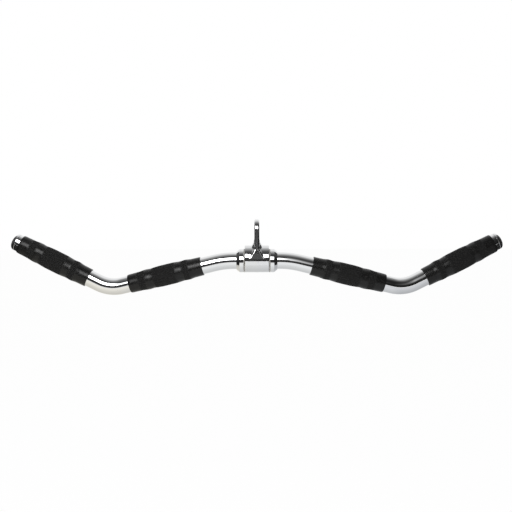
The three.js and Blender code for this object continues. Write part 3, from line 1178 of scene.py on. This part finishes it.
def glow_material(name, level=None):
    """Glows at one level, or else with the colour that the mesh carries at each point."""
    material, tree, _ = shader(name)
    glow = add_node(tree, "ShaderNodeEmission")
    if level is None:
        colour = add_node(tree, "ShaderNodeAttribute", attribute_name="glow")
        tree.links.new(colour.outputs["Color"], glow.inputs["Color"])
    else:
        set_values(glow, {"Color": (level, level, level, 1)})
    tree.links.new(glow.outputs[0], tree.nodes["Material Output"].inputs["Surface"])
    return material


def glow_sheet(name, points, colours, material):
    """A sheet through a grid of points, with a colour at each, seen only in gloss."""
    rows, columns = points.shape[:2]
    faces = [
        (r * columns + c, r * columns + c + 1, (r + 1) * columns + c + 1, (r + 1) * columns + c)
        for r in range(rows - 1) for c in range(columns - 1)
    ]
    sheet = stage_sheet(name, points.reshape(-1, 3).tolist(), faces, material)
    attribute = sheet.data.attributes.new("glow", "FLOAT_COLOR", "POINT")
    opaque = np.ones((rows, columns, 1))
    attribute.data.foreach_set("color", np.concatenate([colours, opaque], axis=-1).ravel())
    gloss_only(sheet)


def grey(levels):
    return np.repeat(levels[..., None], 3, axis=-1)


def make_floor():
    """The floor, and dark strips over its far sides for gloss alone: painted shade on the floor, seen in
    the metal.
    """
    floor_sheet("floor", -floor_half_width, floor_half_width, floor_z, floor_material())
    spans = (-floor_half_width, -shade_half_width), (shade_half_width, floor_half_width)
    for side, span, level in zip(SIDES, spans, dark_floor_levels):
        name = f"{side}_dark_floor"
        gloss_only(floor_sheet(name, *span, floor_z + MM, glow_material(name, level)))


def make_floor_shade(material):
    """What the floor looks like in gloss, near the object: painted shade under it, painted warm light to
    the left and painted shade far to both sides.
    """
    rows, columns = shade_points
    along = np.linspace(floor_shade_rows[0, 0], floor_shade_rows[-1, 0], rows)
    across = np.linspace(-shade_half_width, shade_half_width, columns)
    y, x = np.meshgrid(along, across, indexing="ij")
    points = np.stack([x, y, np.full_like(x, floor_z + MM)], axis=-1)
    # Painted warm light to the left, and painted shade far to both sides
    tint = np.stack(column_values(x, floor_light_colour_rows), axis=-1)
    # Painted shade: the level falls under the object
    shade, = column_values(y, floor_shade_rows)
    glow_sheet("floor_shade", points, shade[..., None] * tint, material)


def soft_step(value, edge, fade):
    """0 below an edge and 1 above it, with a straight change of the given width between."""
    return np.clip((value - edge) / fade + 0.5, 0, 1)


def dome_level(angle, share):
    """How bright the dome is towards a direction: dark in front, lighter overhead, with the softbox."""
    columns = column_values(np.degrees(angle), dome_rows)
    place = np.interp(share, dome_shares, range(len(dome_shares)))
    level = sum(column * np.clip(1 - np.abs(place - n), 0, 1) for n, column in enumerate(columns))
    glow, top = column_values(share, softbox_rows)
    above = soft_step(angle, lamp_angle_low, dome_edge)
    below = soft_step(-angle, -np.radians(top), dome_edge)
    return level + above * below * glow


def make_dome(material):
    """The studio in front of the object: a half dome, seen only in its gloss."""
    lowest, highest = dome_rows[0, 0], dome_rows[-1, 0]
    angles = np.radians(np.arange(lowest, highest + dome_angle_step, dome_angle_step))
    shares = np.sin(np.radians(np.arange(-90, 90 + dome_side_step, dome_side_step)))
    angle, share = np.meshgrid(angles, shares, indexing="ij")
    flat = np.sqrt(np.maximum(1 - share ** 2, 0))
    points = dome_radius * np.stack([share, -flat * np.cos(angle), flat * np.sin(angle)], axis=-1)
    points = points + np.array([0, 0, dome_centre_z])
    glow_sheet("dome", points, grey(dome_level(angle, share)), material)


def make_near_sheet(material):
    """The right edge of the soft light, nearer to the object."""
    angles = np.radians(np.linspace(near_angles[0, 0], near_angles[-1, 0], near_points))
    across = np.linspace(near_rows[0, 0], near_rows[-1, 0], near_points)
    angle, x = np.meshgrid(angles, across, indexing="ij")
    y = -near_distance * np.cos(angle)
    z = near_distance * np.sin(angle) + dome_centre_z
    dark = near_rows[-1, 1]
    level, = column_values(x, near_rows)
    left, = column_values(np.degrees(angle), near_angles)
    glow_sheet("near_light", np.stack([x, y, z], axis=-1), grey(dark + (level - dark) * left), material)


def make_side_sheets():
    """Dark sheets beside the object, for the flanks of the hub, and a small one beside each cap."""
    for name, (x, y, z, level) in side_sheets.items():
        gloss_only(upright_sheet(name, x, y, z, glow_material(name, level)))


def make_lamp():
    """One large soft light in front, to the left and above, facing the object."""
    middle = (lamp_angle_low + lamp_angle_high) / 2
    data = bpy.data.lights.new("softbox", "AREA")
    data.shape = "RECTANGLE"
    data.size = lamp_right - lamp_left
    data.size_y = 2 * lamp_distance * math.tan((lamp_angle_high - lamp_angle_low) / 2)
    data.energy = lamp_radiance * math.pi * data.size * data.size_y
    lamp = in_scene("softbox", data)
    away = Vector((0, -math.cos(middle), math.sin(middle)))
    lamp.location = aim + away * lamp_distance + Vector(((lamp_left + lamp_right) / 2, 0, 0))
    lamp.rotation_euler = away.to_track_quat("Z", "Y").to_euler()
    lamp.visible_camera = False
    lamp.visible_glossy = False


bpy.context.scene.view_settings.view_transform = "Standard"

make_camera()
make_world()
make_floor()
studio_glow = glow_material("studio_glow")
make_floor_shade(studio_glow)
make_dome(studio_glow)
make_near_sheet(studio_glow)
make_side_sheets()
make_lamp()

chrome = chrome_material(
    "chrome_tube", wave_distance=0.00002, haze=0.08, bright=(0.78, 0.785, 0.79), dull=(0.74, 0.745, 0.75)
)
cast_chrome = chrome_material(
    "chrome_cast", wave_distance=0.00008, haze=0.15, bright=(0.75, 0.755, 0.76), dull=(0.69, 0.695, 0.7)
)
rubber = rubber_material()
nylon = nylon_material()
steel = steel_material()

make_tube(chrome)
make_grips(rubber)
make_caps(chrome)
make_bushings(nylon)
make_collars(chrome)
make_screws(steel)
make_hub(cast_chrome)
